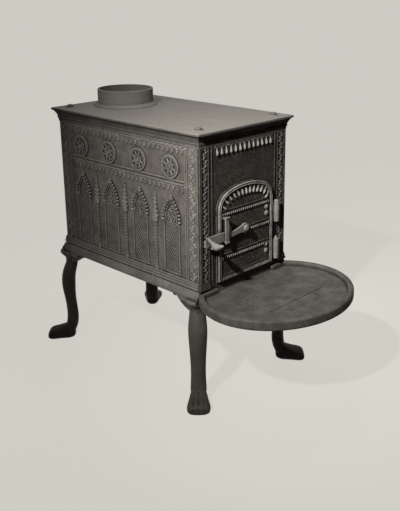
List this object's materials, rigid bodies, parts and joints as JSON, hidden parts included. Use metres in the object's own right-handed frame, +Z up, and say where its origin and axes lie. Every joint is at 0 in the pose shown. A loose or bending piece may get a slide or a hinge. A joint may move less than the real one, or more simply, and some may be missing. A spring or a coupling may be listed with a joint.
{
  "type": "box stove",
  "caption": "Cast-iron wood-burning box stove on paw legs, with an arched hinged front door and lift latch, an oval hearth plate and a round flue collar.",
  "frame": {"origin": "floor level, at the middle of the overall length and width, feet and hearth included", "axes": "+Z up, -Y towards the hearth and door, +X to the right as seen by someone facing the door"},
  "size_m": [0.4454, 0.8897, 0.729],
  "materials": {
    "shell": "old stove-blacked cast iron, matt with a dull sheen on the edges",
    "hearth": "grey cast iron, rough, dulled by ash",
    "legs": "stove-blacked cast iron, smooth",
    "door": "rough cast iron, rubbed on the raised rim and bands",
    "worn_iron": "iron worn pale by handling",
    "fasteners": "dark iron"
  },
  "bodies": {
    "stove": {"top_plate": "shell", "bottom_plate": "shell", "left_side_plate": "shell", "right_side_plate": "shell", "front_plate": "shell", "back_plate": "shell", "flue_collar": "shell", "hearth_plate": "hearth", "front_left_leg": "legs", "front_right_leg": "legs", "rear_left_leg": "legs", "rear_right_leg": "legs", "upper_hinge_bracket": "worn_iron", "lower_hinge_bracket": "worn_iron", "upper_hinge_pin": "worn_iron", "lower_hinge_pin": "worn_iron", "latch_keeper": "worn_iron", "tie_rods": "fasteners", "tie_rod_washers": "fasteners", "tie_rod_nuts": "fasteners", "collar_bolts": "fasteners", "hearth_bolts": "fasteners", "hearth_nuts": "fasteners", "leg_bolts": "fasteners", "leg_nuts": "fasteners"},
    "door": {"door": "door", "upper_hinge_strap": "worn_iron", "lower_hinge_strap": "worn_iron", "hinge_rivets": "worn_iron", "latch_pivot_bolt": "worn_iron", "latch_pivot_nut": "fasteners", "latch_staple": "worn_iron"},
    "latch": {"latch_bar": "worn_iron"}
  },
  "joints": [
    {"name": "door_swing", "type": "hinge", "parent": "stove", "child": "door", "pos_m": [0.112, -0.17186, 0.4], "axis": [0, 0, 1], "range_deg": [0, 120]},
    {"name": "latch_lift", "type": "hinge", "parent": "door", "child": "latch", "pos_m": [-0.0127, -0.17461, 0.4286], "axis": [0, 1, 0], "range_deg": [0, 22]}
  ]
}
